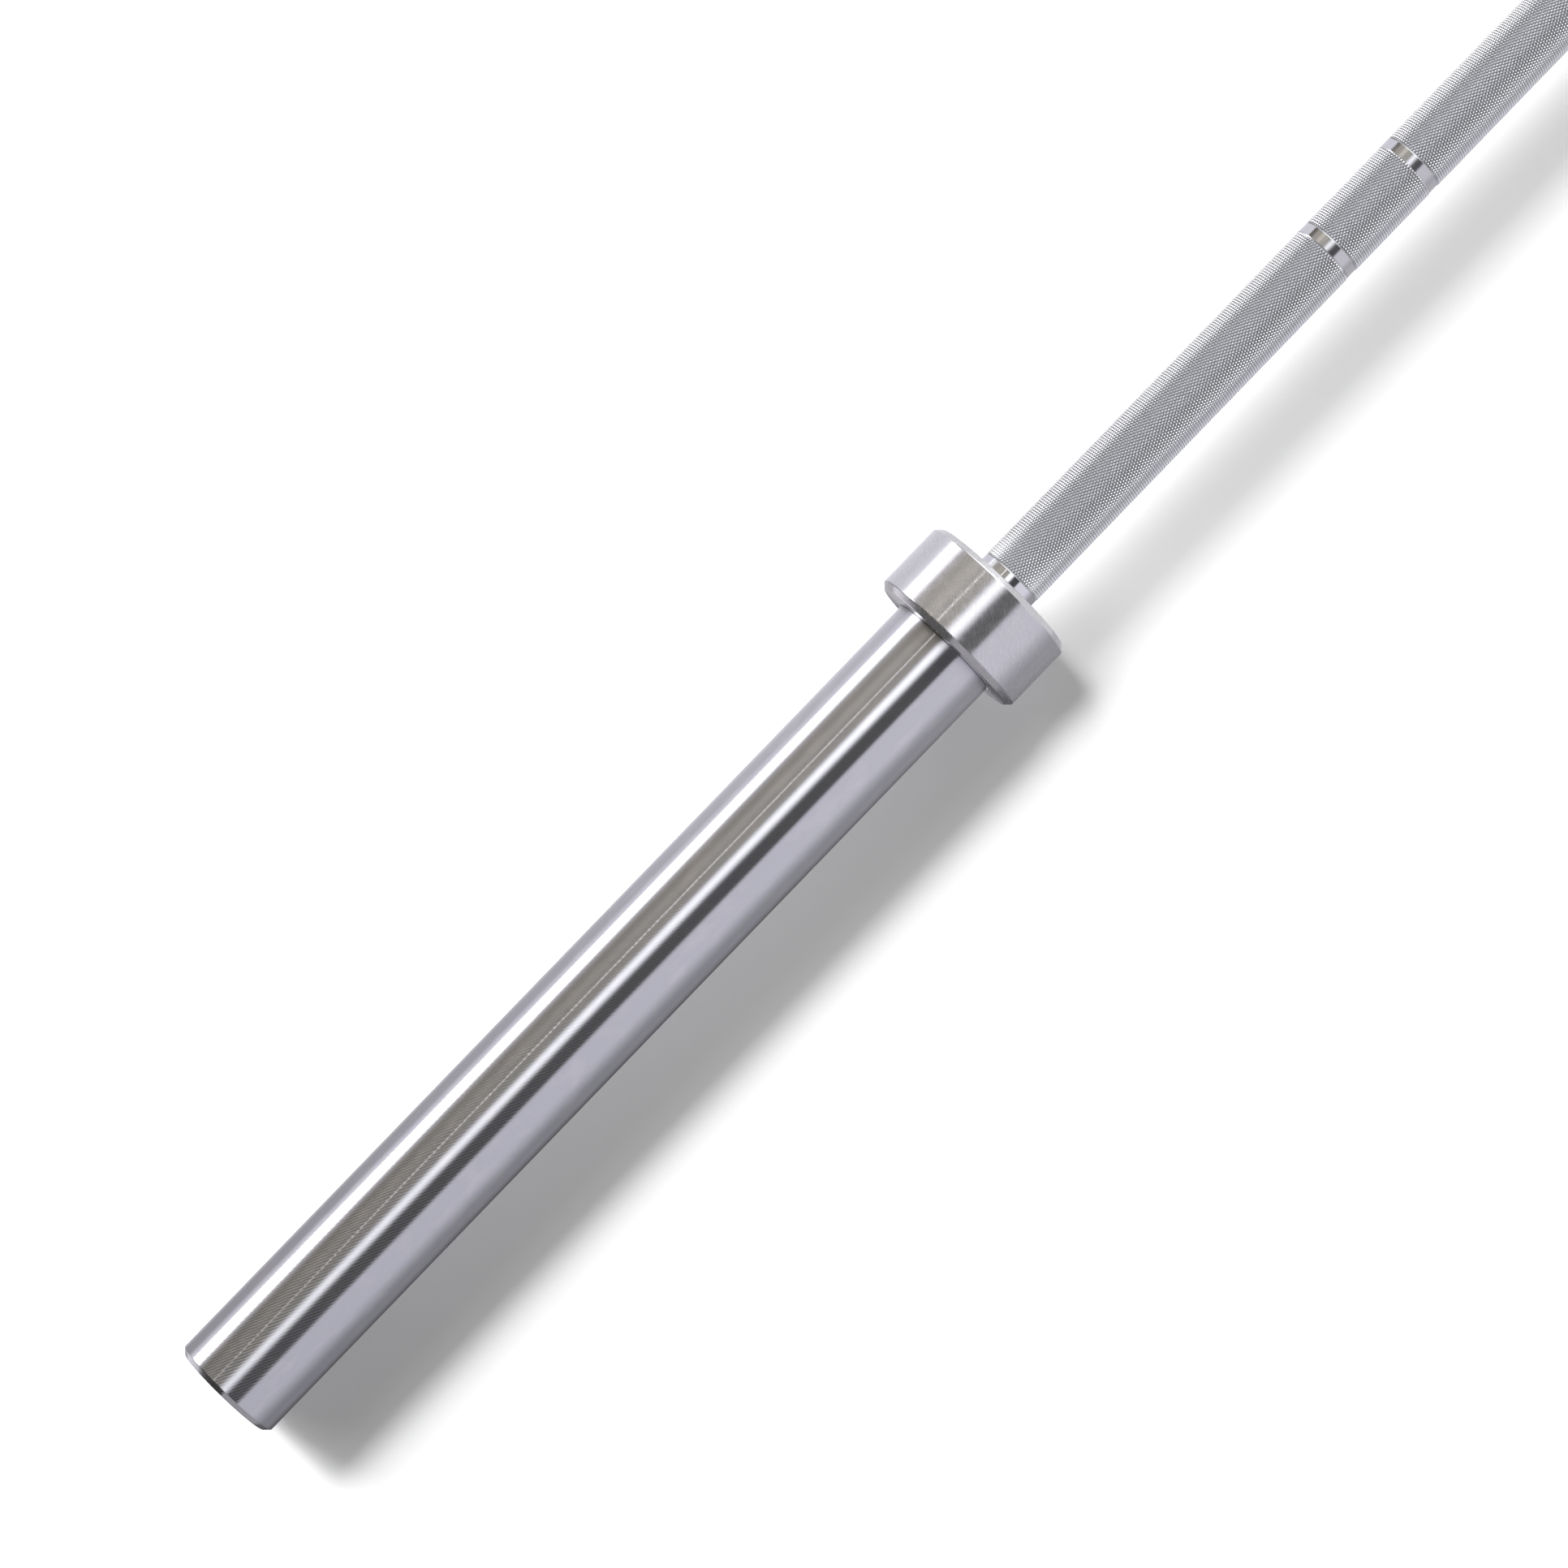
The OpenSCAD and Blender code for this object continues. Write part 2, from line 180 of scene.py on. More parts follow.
shown = mixed(sky, node(sky, "LightPath").outputs["Is Camera Ray"], room, BACKDROP_COLOUR)
backdrop = node(sky, "Background", {"Color": shown})
node(sky, "OutputWorld", {"Surface": backdrop.outputs[0]})

# Floor: a wide sheet of white paper that the collars stand on. The room's own panels hold what
# the steel mirrors of it, so mirrored rays pass it by.
COLLAR_R = 0.03725
FLOOR_HALF = 60.0
PAPER = 0.92


def new_finish(name):
    """A material and its empty node tree."""
    made = bpy.data.materials.new(name)
    made.use_nodes = True
    made.node_tree.nodes.clear()
    return made, made.node_tree


floor_mesh = bpy.data.meshes.new("floor")
floor_mesh.from_pydata(
    [(x * FLOOR_HALF, y * FLOOR_HALF, -COLLAR_R) for x, y in ((-1, -1), (1, -1), (1, 1), (-1, 1))],
    [], [(0, 1, 2, 3)])
floor = placed("floor", floor_mesh)
floor.visible_glossy = False
paper, sheet = new_finish("paper")
matt = node(sheet, "BsdfDiffuse", {"Color": (PAPER, PAPER, PAPER, 1.0)})
node(sheet, "OutputMaterial", {"Surface": matt.outputs[0]})
floor_mesh.materials.append(paper)

# Lamps: three soft keys on the +Y side, an even fill and a glow over the sleeve's inner end. They
# light the paper, and the room gives the steel its look. Each lamp is shaded by its own group of
# pieces: only the weak turned key falls on the collars, as the photographed one hardly shades.
LAMPS = (
    # name, angle from overhead, turn towards the left end, width, share of the paper's light, group
    ("sleeve key", 39.4, 0.0, 10.0, 0.27, "sleeves"),
    ("turned key", 41.0, 28.0, 24.0, 0.10, "sleeves and collars"),
    ("soft key", 48.0, 2.0, 26.0, 0.70, "sleeves and bar"),
    ("fill", 0.0, 0.0, 130.0, 0.215, "nothing"),
)
GLOW_SHARE = 0.14
GLOW_AT = Vector((-0.80, 0.05, 0.26))
GLOW_R = 0.03
SHADES = {
    group: bpy.data.collections.new(group + " shade")
    for group in ("sleeves", "sleeves and collars", "sleeves and bar", "nothing")
}
SHADES["nothing"].objects.link(floor)


def hung(lamp_data, group):
    """Lamp that the steel doesn't mirror, shaded by the pieces in its group alone."""
    lamp = placed(lamp_data.name, lamp_data)
    lamp.visible_glossy = False
    lamp.light_linking.blocker_collection = SHADES[group]
    return lamp


for name, from_overhead, turn, width, share, group in LAMPS:
    tilt, azimuth = radians(from_overhead), radians(turn)
    lamp_data = bpy.data.lights.new(name, "SUN")
    lamp_data.angle = radians(width)
    lamp_data.energy = share * pi / (PAPER * cos(tilt))
    towards = Vector((-sin(azimuth) * sin(tilt), cos(azimuth) * sin(tilt), cos(tilt)))
    hung(lamp_data, group).matrix_world = towards.to_track_quat("Z", "Y").to_matrix().to_4x4()
glow_data = bpy.data.lights.new("glow", "POINT")
glow_data.shadow_soft_size = GLOW_R
glow_data.energy = GLOW_SHARE * 4 * pi * pi * (GLOW_AT.z + COLLAR_R) ** 2 / PAPER
hung(glow_data, "nothing").location = GLOW_AT

# Bar: one solid steel bar, 28.5 mm across, turned down at both ends to the journals that the
# sleeves run on. Only its plain parts are made here: middle, ring marks, necks and journals.
MM = 0.001
ENDS = (("left", -1), ("right", 1))
BAR_R = 14.25 * MM
CORE_R = 13.9 * MM
JOURNAL_R = 13.0 * MM
GROOVE_R = 12.45 * MM
SHOULDER_X = 661.0 * MM
RING_GROOVE = (1104.4 * MM, 1105.65 * MM)
TIP_X = 1109.65 * MM
TIP_CHAMFER = 1.5 * MM
KNURL_ZONES = ((210.0 * MM, 405.0 * MM), (410.0 * MM, 455.0 * MM), (460.0 * MM, 649.3 * MM))
BAR_EASE = 0.12 * MM
CORNER_POINTS = 5
CORNER_SHARE = 0.45
COLUMNS = 192
BAR_COLOUR = (0.64, 0.64, 0.65)


def eased(outline, ease, closed=False):
    """Outline points and their tangents, each corner swapped for a short parabola: with a and b
    the points a little before and after corner c, a + 2t(c - a) + t^2(a - 2c + b). It starts
    ease metres from the corner, or CORNER_SHARE of the way along a short side."""
    corner = np.asarray(outline, float)
    before, after = np.roll(corner, 1, 0), np.roll(corner, -1, 0)
    to_before, to_after = before - corner, after - corner
    length_before = np.linalg.norm(to_before, axis=1)[:, None]
    length_after = np.linalg.norm(to_after, axis=1)[:, None]
    reach = np.minimum(ease, CORNER_SHARE * np.minimum(length_before, length_after))
    a = corner + to_before / length_before * reach
    b = corner + to_after / length_after * reach
    t = np.linspace(0.0, 1.0, CORNER_POINTS)[None, :, None]
    a, b, c = a[:, None], b[:, None], corner[:, None]
    points = a + 2 * t * (c - a) + t * t * (a - 2 * c + b)
    tangents = (c - a) + t * (a - 2 * c + b)
    if not closed:
        first, last = corner[:1], corner[-1:]
        ends = corner[1] - corner[0], corner[-1] - corner[-2]
        points = np.concatenate((first, points[1:-1].reshape(-1, 2), last))
        tangents = np.concatenate((ends[0][None], tangents[1:-1].reshape(-1, 2), ends[1][None]))
    else:
        points = np.concatenate((points.reshape(-1, 2), points[0, :1]))
        tangents = np.concatenate((tangents.reshape(-1, 2), tangents[0, :1]))
    return points, tangents


def turned(name, outline, ease, closed=False):
    """Piece turned about X from (x, r) points. Row i, column j is at
    (x_i, r_i sin a_j, r_i cos a_j) with a_j = 2 pi j / COLUMNS. A solid starts and ends on the
    axis, and a ring's outline comes back to its start. UV u is the way run along the outline in
    metres, and v is turns about X, so u is also the direction that the finish is stretched in."""
    points, tangents = eased(outline, ease, closed)
    x, r = points[:, :1], points[:, 1:]
    a = 2 * np.pi * np.arange(COLUMNS)[None] / COLUMNS
    places = np.stack((x + 0 * a, r * np.sin(a), r * np.cos(a)), -1)
    size = np.linalg.norm(tangents, axis=1)[:, None]
    nx, nr = -tangents[:, 1:] / size, tangents[:, :1] / size
    normals = np.stack((nx + 0 * a, nr * np.sin(a), nr * np.cos(a)), -1)
    run = np.concatenate(([0.0], np.cumsum(np.linalg.norm(np.diff(points, axis=0), axis=1))))
    rows = len(points)
    i, j = np.meshgrid(np.arange(rows - 1), np.arange(COLUMNS), indexing="ij")
    i, j = i.ravel(), j.ravel()
    up_i, up_j = np.stack((i, i + 1, i + 1, i), -1), np.stack((j, j, j + 1, j + 1), -1)
    uv = np.stack((run[up_i], up_j / COLUMNS), -1)
    row = up_i % (rows - 1) if closed else up_i
    if closed:
        places, normals = places[:-1], normals[:-1]
    quads = row * COLUMNS + up_j % COLUMNS
    mesh = bpy.data.meshes.new(name)
    mesh.from_pydata(places.reshape(-1, 3), [], quads)
    mesh.uv_layers.new(name="turned").uv.foreach_set("vector", uv.reshape(-1).astype(np.float32))
    mesh.shade_smooth()
    mesh.normals_split_custom_set_from_vertices(normals.reshape(-1, 3))
    return placed(name, mesh)


def sided(outline, way):
    """The outline as it is for the right end, or mirrored and run backwards for the left."""
    outline = np.asarray(outline, float)
    return outline if way > 0 else outline[::-1] * (-1, 1)


def surfaced(tree, tint, roughness, others, height=None, depth=0.0):
    """Ends a finish with its shader. The others are plain values for the shader's sockets, and
    the bump is depth metres deep where height goes from 0 to 1. Where the shader is anisotropic,
    its highlights are drawn out along UV u, or across it if that value is below 0."""
    inputs = {"Base Color": colour(tint), "Roughness": roughness, **others}
    if height is not None:
        inputs["Normal"] = node(tree, "Bump", {"Height": height, "Distance": depth}).outputs[0]
    if "Anisotropic" in others:
        inputs["Tangent"] = node(tree, "Tangent", direction_type="UV_MAP", uv_map="turned").outputs[0]
    shader = node(tree, "BsdfPrincipled", inputs)
    node(tree, "OutputMaterial", {"Surface": shader.outputs[0]})


def helical_grain(tree, lead, fine, long, detail=2.0):
    """Noise in thin lines that wind round X: the place is turned about X by lead radians per
    metre of x, then squeezed to cells long metres along and fine metres across."""
    place = node(tree, "TexCoord").outputs["Object"]
    x = node(tree, "SeparateXYZ", {0: place}).outputs[0]
    wound = node(tree, "VectorRotate", {"Vector": place, "Angle": sums(tree, "MULTIPLY", x, lead)},
                 rotation_type="X_AXIS").outputs[0]
    cells = node(tree, "Mapping", {"Vector": wound, "Scale": (1 / long, 1 / fine, 1 / fine)})
    return node(tree, "TexNoise", {
        "Vector": cells.outputs[0], "Scale": 1.0, "Detail": detail}).outputs["Fac"]


def mottled(tree, size, detail=3.0):
    """Noise in even cells, size metres across."""
    return helical_grain(tree, 0.0, size, size, detail)


def varied(tree, value, low, high, first=0.3, last=0.7):
    """Runs from low to high while the value goes from first to last. Most of a noise lies
    between 0.3 and 0.7."""
    return node(tree, "MapRange", {0: value, 1: first, 2: last, 3: low, 4: high}).outputs[0]


def bar_steel():
    """Bright plated steel, ground smooth: faint turning lines round it and cloudy plating."""
    made, tree = new_finish("bar_steel")
    lines = helical_grain(tree, lead=0.0, fine=2.0 * MM, long=0.06 * MM)
    clouds = mottled(tree, 9.0 * MM)
    worn = varied(tree, clouds, low=0.09, high=0.17)
    surfaced(tree, BAR_COLOUR, worn, {"Metallic": 1.0}, height=lines, depth=0.0012 * MM)
    return made


half_grip = []
for start, end in KNURL_ZONES:
    half_grip += [(start, BAR_R), (start, CORE_R), (end, CORE_R), (end, BAR_R)]
half_grip += [(SHOULDER_X, BAR_R), (SHOULDER_X, 0.0)]
grip = turned("bar", np.concatenate((sided(half_grip, -1), half_grip)), BAR_EASE)
journal_outline = [
    (SHOULDER_X, 0.0), (SHOULDER_X, JOURNAL_R),
    (RING_GROOVE[0], JOURNAL_R), (RING_GROOVE[0], GROOVE_R),
    (RING_GROOVE[1], GROOVE_R), (RING_GROOVE[1], JOURNAL_R),
    (TIP_X - TIP_CHAMFER, JOURNAL_R), (TIP_X, JOURNAL_R - TIP_CHAMFER), (TIP_X, 0.0)]
journals = [turned(side + "_journal", sided(journal_outline, way), BAR_EASE) for side, way in ENDS]
bar_steel_finish = bar_steel()
for piece in (grip, *journals):
    piece.data.materials.append(bar_steel_finish)
    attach(piece, "shaft")
SHADES["sleeves and bar"].objects.link(grip)
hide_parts("shaft")

# Knurled grips: diamonds rolled into the bar by two crossed sets of 66 grooves, which throw up
# blunt points that stand proud of the smooth steel.
CREST_R = 14.6 * MM
GROOVE_BOTTOM_R = 14.05 * MM
APEX_R = 14.72 * MM
KNURL_STARTS = 66
KNURL_PITCH = 2.41 * MM
KNURL_RUN_IN = 0.6 * MM
# The groove colour is painted shade in the grooves, and the point colour a painted highlight on the
# points.
GROOVE_SHADE_COLOUR = (0.43, 0.44, 0.455)
POINT_HIGHLIGHT_COLOUR = (1.0, 1.0, 1.0)
POINT_POLISH = 0.10


def knurl(name, start, end):
    """Ring of rolled diamonds. On a grid of quarter pitches, k along and m round, the height is
    the lower of the distances to the two sets of grooves, k + m and k - m in whole fours,
    scaled to run from GROOVE_BOTTOM_R to APEX_R, blunted at CREST_R, and drawn down to the bar's
    own radius at both ends. Each cell is split along the groove that crosses it, and the first
    and last rows close the ring inside, at CORE_R."""
    count = round((end - start) / (KNURL_PITCH / 4))
    columns = 4 * KNURL_STARTS
    k = np.arange(count + 1)[:, None]
    m = np.arange(columns)[None]
    groove = np.minimum(2 - np.abs((k + m) % 4 - 2), 2 - np.abs((k - m) % 4 - 2)) / 2
    r = GROOVE_BOTTOM_R + (APEX_R - GROOVE_BOTTOM_R) * groove
    x = start + (end - start) * k / count
    from_end = np.minimum(x - start, end - x)
    run_in = BAR_R + (CREST_R - BAR_R) * from_end / KNURL_RUN_IN
    r = np.minimum(np.minimum(r, CREST_R), run_in)
    r[[0, -1]] = BAR_R
    inner = np.full((1, columns), CORE_R)
    r = np.concatenate((inner, r, inner))
    x = np.concatenate((x[:1], x, x[-1:]))
    crest = (r - GROOVE_BOTTOM_R) / (CREST_R - GROOVE_BOTTOM_R)
    a = 2 * np.pi * m / columns
    places = np.stack((x + 0 * a, r * np.sin(a), r * np.cos(a)), -1)
    rows = len(r)
    i, j = np.meshgrid(np.arange(rows), np.arange(columns), indexing="ij")
    i, j = i.ravel(), j.ravel()
    corner = [((i + di) % rows) * columns + (j + dj) % columns
              for di, dj in ((0, 0), (1, 0), (1, 1), (0, 1))]
    odd = ((i - 1 + j) % 2 == 1)[:, None]
    halves = np.where(
        odd,
        np.stack((corner[0], corner[1], corner[3], corner[1], corner[2], corner[3]), -1),
        np.stack((corner[0], corner[1], corner[2], corner[0], corner[2], corner[3]), -1))
    mesh = bpy.data.meshes.new(name)
    mesh.from_pydata(places.reshape(-1, 3), [], halves.reshape(-1, 3))
    mesh.attributes.new("crest", "FLOAT", "POINT").data.foreach_set(
        "value", np.clip(crest, 0, 1).ravel().astype(np.float32))
    return placed(name, mesh)


def knurl_steel():
    """The bar's plated steel on the diamonds: points painted white as a highlight and rubbed
    smoother, grooves duller and painted darker as shade in them.
    """
    made, tree = new_finish("knurl_steel")
    height = node(tree, "Attribute", attribute_name="crest").outputs["Fac"]
    clouds = mottled(tree, 6.0 * MM)
    # Painted shade in the grooves and a painted highlight on the points, blended by the crest's
    # height.
    tint = mixed(tree, height, GROOVE_SHADE_COLOUR, POINT_HIGHLIGHT_COLOUR)
    dull = varied(tree, clouds, low=0.38, high=0.40)
    worn = sums(tree, "MULTIPLY_ADD", height, -POINT_POLISH, dull)
    surfaced(tree, tint, worn, {"Metallic": 1.0})
    return made


knurl_finish = knurl_steel()
for side, way in ENDS:
    for place, (start, end) in zip(("inner", "mark", "outer"), KNURL_ZONES):
        piece = knurl(side + "_" + place + "_knurl", *sorted((way * start, way * end)))
        piece.data.materials.append(knurl_finish)
        SHADES["sleeves and bar"].objects.link(piece)
        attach(piece, "shaft")

# Sleeves: steel tubes, 50 mm across, that the plates slide on. Each is bored for its bushings,
# ground all over and chromed, and carries its collar on a turned-down seat.
SLEEVE_R = 25.0 * MM
SEAT_R = 24.0 * MM
SLEEVE_IN_X = 655.0 * MM
SEAT_OUT_X = 690.0 * MM
SLEEVE_END_X = 1122.0 * MM
SLEEVE_CHAMFER = 2.4 * MM
MOUTH_CHAMFER = 0.6 * MM
STACK_R = 19.05 * MM
BUSHING_SEAT_R = 17.05 * MM
BUSHING_SEAT = (663.3 * MM, 1098.15 * MM)
CAP_BORE_R = 20.05 * MM
CAP_SEAT_X = 1113.65 * MM
CAP_GROOVE_R = 21.15 * MM
CAP_GROOVE = (1117.65 * MM, 1119.5 * MM)
SLEEVE_EASE = 0.25 * MM
SCRATCH_PITCH = 2.55 * MM
SCRATCH_STARTS = 128
SCRATCH_DEPTH = 0.0013 * MM
SCRATCH_WANDER = 0.5
GRAIN_SHARE = 0.3
PLATES_REST = (700.0 * MM, 1120.0 * MM)
CHROME_COLOUR = (0.615, 0.615, 0.63)
SMEAR_COLOUR = (0.67, 0.66, 0.665)


def helical_lines(tree, pitch, starts, wander):
    """Even lines that wind round X, one each pitch metres along it, starts of them side by side.
    The height is the sine of the place between two lines, and wander shifts it a little."""
    uv = node(tree, "SeparateXYZ", {0: node(tree, "UVMap", uv_map="turned").outputs[0]}).outputs
    wound = sums(tree, "MULTIPLY_ADD", uv[0], 1 / pitch, sums(tree, "MULTIPLY", uv[1], starts))
    return sums(tree, "SINE", sums(tree, "MULTIPLY", sums(tree, "ADD", wound, wander), 2 * pi))


def sleeve_chrome():
    """Chrome over ground steel: highlights drawn out along the tube, even belt scratches that
    wind round it at about 30 degrees, and fine grain. Plates sliding on and off leave both of
    them deeper towards the open end."""
    made, tree = new_finish("sleeve_chrome")
    x = node(tree, "SeparateXYZ", {0: node(tree, "TexCoord").outputs["Object"]}).outputs[0]
    wear = varied(tree, sums(tree, "ABSOLUTE", x), 0.25, 1.4, *PLATES_REST)
    patches = helical_grain(tree, lead=12.0, fine=3.0 * MM, long=9.0 * MM)
    wander = sums(tree, "MULTIPLY", patches, SCRATCH_WANDER)
    scratches = helical_lines(tree, SCRATCH_PITCH, SCRATCH_STARTS, wander)
    belt = sums(tree, "MULTIPLY", varied(tree, patches, low=0.45, high=1.0), scratches)
    belt = sums(tree, "MULTIPLY", belt, wear)
    grain = helical_grain(tree, lead=23.0, fine=0.15 * MM, long=1.2 * MM)
    grain = sums(tree, "MULTIPLY", grain, wear)
    height = sums(tree, "MULTIPLY_ADD", grain, GRAIN_SHARE, belt)
    smears = helical_grain(tree, lead=0.0, fine=8.0 * MM, long=14.0 * MM, detail=4.0)
    smears = varied(tree, smears, low=0.0, high=1.0, first=0.5, last=0.75)
    tint = mixed(tree, smears, CHROME_COLOUR, SMEAR_COLOUR)
    worn = varied(tree, belt, low=0.15, high=0.26, first=-0.8, last=1.0)
    surfaced(tree, tint, worn, {"Metallic": 1.0, "Anisotropic": 1.0}, height, SCRATCH_DEPTH)
    return made


sleeve_outline = [
    (SLEEVE_IN_X, SEAT_R), (SEAT_OUT_X, SEAT_R), (SEAT_OUT_X, SLEEVE_R),
    (SLEEVE_END_X - SLEEVE_CHAMFER, SLEEVE_R), (SLEEVE_END_X, SLEEVE_R - SLEEVE_CHAMFER),
    (SLEEVE_END_X, CAP_BORE_R + MOUTH_CHAMFER), (SLEEVE_END_X - MOUTH_CHAMFER, CAP_BORE_R),
    (CAP_GROOVE[1], CAP_BORE_R), (CAP_GROOVE[1], CAP_GROOVE_R),
    (CAP_GROOVE[0], CAP_GROOVE_R), (CAP_GROOVE[0], CAP_BORE_R),
    (CAP_SEAT_X, CAP_BORE_R), (CAP_SEAT_X, STACK_R),
    (BUSHING_SEAT[1], STACK_R), (BUSHING_SEAT[1], BUSHING_SEAT_R),
    (BUSHING_SEAT[0], BUSHING_SEAT_R), (BUSHING_SEAT[0], STACK_R),
    (SLEEVE_IN_X + MOUTH_CHAMFER, STACK_R), (SLEEVE_IN_X, STACK_R + MOUTH_CHAMFER)]
sleeve_finish = sleeve_chrome()
for side, way in ENDS:
    sleeve = turned(side + "_sleeve_tube", sided(sleeve_outline, way), SLEEVE_EASE, closed=True)
    sleeve.data.materials.append(sleeve_finish)
    for group in ("sleeves", "sleeves and collars", "sleeves and bar"):
        SHADES[group].objects.link(sleeve)
    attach(sleeve, side + "_sleeve_unit")
    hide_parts(side + "_sleeve")

# Collars: heavy steel rings that stop the plates, shrunk on the sleeves' seats, turned with a
# 2.5 mm chamfer on each edge, then polished and chromed.
COLLAR_CHAMFER = 2.5 * MM
COLLAR_MOUTH_R = 25.2 * MM
COLLAR_EASE = 0.5 * MM
COLLAR_COLOURS = ((0.60, 0.60, 0.615), (0.66, 0.65, 0.655))


def collar_chrome():
    """Chrome over polished steel, with slanting rub marks, and a haze of knocks and smears from
    the plates."""
    made, tree = new_finish("collar_chrome")
    knocks = helical_grain(tree, lead=0.0, fine=0.7 * MM, long=0.9 * MM, detail=1.0)
    clouds = helical_grain(tree, lead=0.0, fine=2.5 * MM, long=4.0 * MM, detail=4.0)
    rubbed = helical_grain(tree, lead=40.0, fine=0.35 * MM, long=2.4 * MM)
    tint = mixed(tree, varied(tree, clouds, low=0.0, high=1.0), *COLLAR_COLOURS)
    haze = varied(tree, clouds, low=0.10, high=0.16)
    worn = sums(tree, "ADD", haze, varied(tree, rubbed, low=0.0, high=0.17))
    surfaced(tree, tint, worn, {"Metallic": 0.94, "Anisotropic": 0.9},
             height=knocks, depth=0.0008 * MM)
    return made


collar_outline = [
    (SLEEVE_IN_X, SEAT_R), (SLEEVE_IN_X, COLLAR_R - COLLAR_CHAMFER),
    (SLEEVE_IN_X + COLLAR_CHAMFER, COLLAR_R), (SEAT_OUT_X - COLLAR_CHAMFER, COLLAR_R),
    (SEAT_OUT_X, COLLAR_R - COLLAR_CHAMFER), (SEAT_OUT_X, COLLAR_MOUTH_R),
    (SEAT_OUT_X - (COLLAR_MOUTH_R - SEAT_R), SEAT_R)]
collar_finish = collar_chrome()
for side, way in ENDS:
    collar = turned(side + "_collar_ring", sided(collar_outline, way), COLLAR_EASE, closed=True)
    collar.data.materials.append(collar_finish)
    SHADES["sleeves and collars"].objects.link(collar)
    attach(collar, side + "_sleeve_unit")
    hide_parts(side + "_collar")

# End caps: dished steel discs, chromed, that close each sleeve's bore and sit behind a
# retaining ring.
CAP_R = 19.95 * MM
CAP_T = 4.0 * MM
CAP_EDGE = 0.5 * MM
CAP_RIM = 5.0 * MM
CAP_EASE = 0.15 * MM
DISH_SLOPE = 1.2 * MM
DISH_DEPTH = 1.0 * MM
LATHE_FEED = 0.45 * MM
RING_SHARE = 0.2
HAZE_SHARE = 0.6
CAP_COLOUR = (0.6, 0.6, 0.615)


def cap_chrome():
    """Chrome over faced steel: fine rings left by the lathe and a light overall haze."""
    made, tree = new_finish("cap_chrome")
    uv = node(tree, "SeparateXYZ", {0: node(tree, "UVMap", uv_map="turned").outputs[0]}).outputs
    rings = sums(tree, "SINE", sums(tree, "MULTIPLY", uv[0], 2 * pi / LATHE_FEED))
    haze = mottled(tree, 3.0 * MM)
    height = sums(tree, "MULTIPLY_ADD", rings, RING_SHARE, sums(tree, "MULTIPLY", haze, HAZE_SHARE))
    worn = varied(tree, haze, low=0.2, high=0.3)
    surfaced(tree, CAP_COLOUR, worn, {"Metallic": 1.0, "Anisotropic": -0.7}, height, 0.01 * MM)
    return made


cap_face_x = CAP_SEAT_X + CAP_T
cap_outline = [
    (CAP_SEAT_X, 0.0), (CAP_SEAT_X, CAP_R - CAP_EDGE), (CAP_SEAT_X + CAP_EDGE, CAP_R),
    (cap_face_x - CAP_EDGE, CAP_R), (cap_face_x, CAP_R - CAP_EDGE),
    (cap_face_x, CAP_R - CAP_RIM), (cap_face_x - DISH_DEPTH, CAP_R - CAP_RIM - DISH_SLOPE),
    (cap_face_x - DISH_DEPTH, 0.0)]
cap_finish = cap_chrome()
for side, way in ENDS:
    cap = turned(side + "_cap_disc", sided(cap_outline, way), CAP_EASE)
    cap.data.materials.append(cap_finish)
    for group in ("sleeves", "sleeves and bar"):
        SHADES[group].objects.link(cap)
    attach(cap, side + "_sleeve_unit")
    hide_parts(side + "_end_cap")


# Cap and shaft retaining rings and wave washers: blackened spring steel, stamped and tempered,
# sprung into their grooves. The CAD solids have their real shape, so they stay.
SPRING_COLOURS = ((0.12, 0.12, 0.13), (0.22, 0.22, 0.235))


def spring_steel():
    """Dark oiled spring steel with a grainy stamped face."""
    made, tree = new_finish("spring_steel")
    grain = mottled(tree, 0.35 * MM)
    tint = mixed(tree, varied(tree, grain, low=0.0, high=1.0), *SPRING_COLOURS)
    worn = varied(tree, grain, low=0.34, high=0.5)
    surfaced(tree, tint, worn, {"Metallic": 1.0}, height=grain, depth=0.02 * MM)
    return made


def dress(finish, *nodes):
    """Puts the finish on every material slot of the CAD nodes."""
    for name in nodes:
        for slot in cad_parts[name].material_slots:
            slot.material = finish


spring_finish = spring_steel()
for side, _ in ENDS:
    dress(spring_finish, side + "_cap_retaining_ring", side + "_shaft_retaining_ring",
          side + "_wave_washer")


# Dust seals: moulded black rubber rings, pressed into the collar ends of the sleeves, their lips
# close round the bar. Only the edge of each shows, so the CAD solids stay.
RUBBER_COLOURS = ((0.012, 0.012, 0.013), (0.035, 0.034, 0.033))


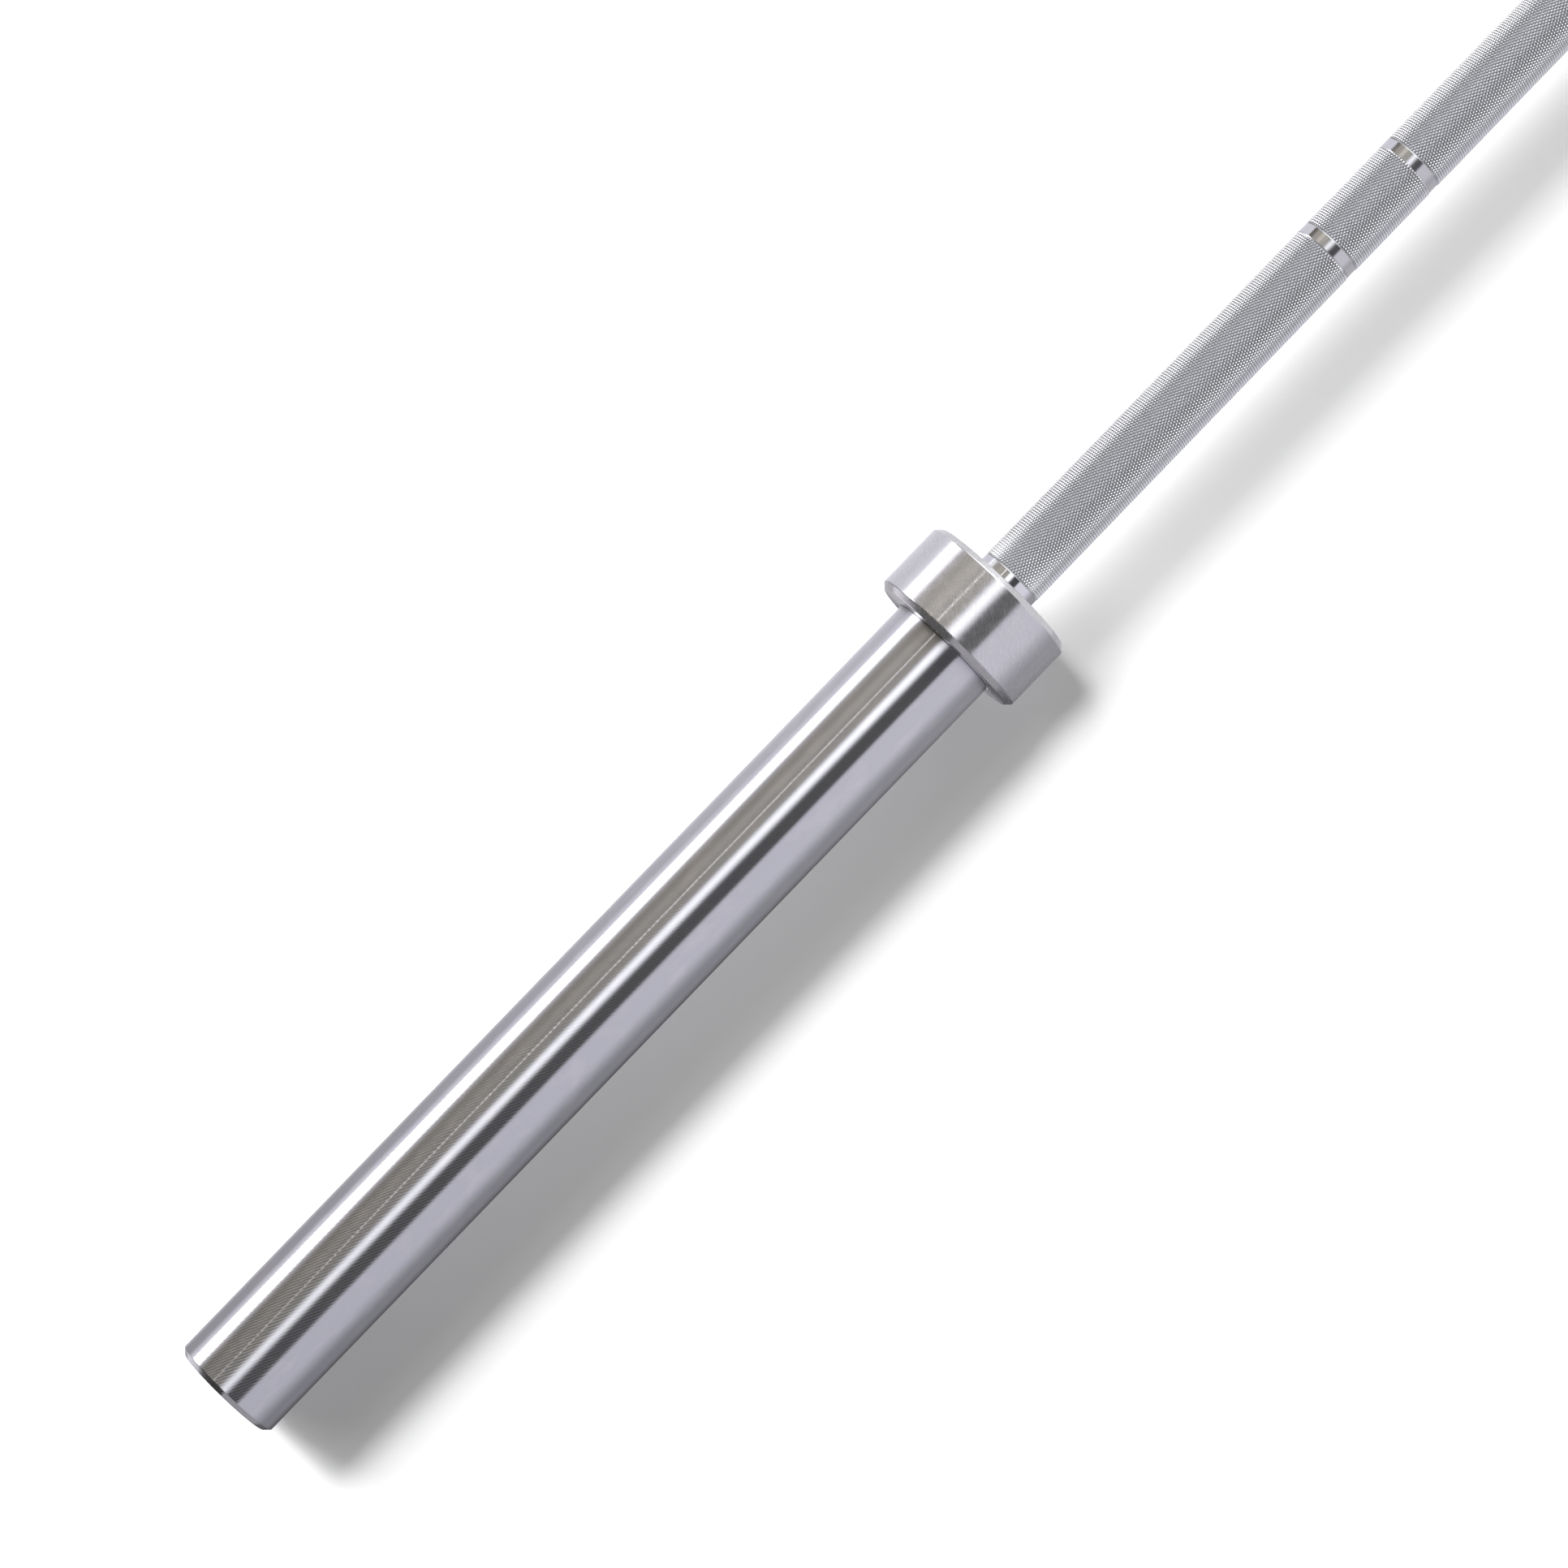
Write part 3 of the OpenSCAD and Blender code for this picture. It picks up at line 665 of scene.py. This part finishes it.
def seal_rubber():
    """Matt black moulded rubber with a fine pebble and grey dust in patches."""
    made, tree = new_finish("seal_rubber")
    dust = mottled(tree, 2.5 * MM, detail=4.0)
    pebble = mottled(tree, 0.3 * MM, detail=2.0)
    tint = mixed(tree, varied(tree, dust, low=0.0, high=1.0), *RUBBER_COLOURS)
    worn = varied(tree, dust, low=0.65, high=0.85)
    surfaced(tree, tint, worn, {"Specular IOR Level": 0.4}, height=pebble, depth=0.04 * MM)
    return made


dress(seal_rubber(), "left_dust_seal", "right_dust_seal")


# Bushings and thrust washers: oil-filled sintered bronze, pressed into the sleeves or floating
# on the journals.
BRONZE_COLOURS = ((0.66, 0.45, 0.22), (0.44, 0.29, 0.14))


def bronze():
    """Sintered bronze: brown-gold, speckled with open pores and darker oil stains."""
    made, tree = new_finish("bronze")
    pores = mottled(tree, 0.25 * MM)
    stains = mottled(tree, 6.0 * MM)
    tint = mixed(tree, varied(tree, stains, low=0.0, high=1.0), *BRONZE_COLOURS)
    worn = varied(tree, pores, low=0.32, high=0.5)
    surfaced(tree, tint, worn, {"Metallic": 1.0}, height=pores, depth=0.03 * MM)
    return made


bronze_finish = bronze()
for side, _ in ENDS:
    dress(bronze_finish, side + "_inner_thrust_washer", side + "_inner_bushing",
          side + "_outer_bushing", side + "_outer_thrust_washer")


# Washers under the shaft's retaining rings: steel, blanked and deburred, then zinc-plated. They
# slide on the journals and spread the rings' load.
ZINC_COLOURS = ((0.50, 0.51, 0.53), (0.60, 0.61, 0.63))


def washer_steel():
    """Zinc-plated steel with a cloudy, faintly blue-grey plating."""
    made, tree = new_finish("washer_steel")
    clouds = mottled(tree, 2.0 * MM, detail=4.0)
    tint = mixed(tree, varied(tree, clouds, low=0.0, high=1.0), *ZINC_COLOURS)
    worn = varied(tree, clouds, low=0.26, high=0.4)
    surfaced(tree, tint, worn, {"Metallic": 1.0}, height=clouds, depth=0.01 * MM)
    return made


dress(washer_steel(), "left_retaining_washer", "right_retaining_washer")
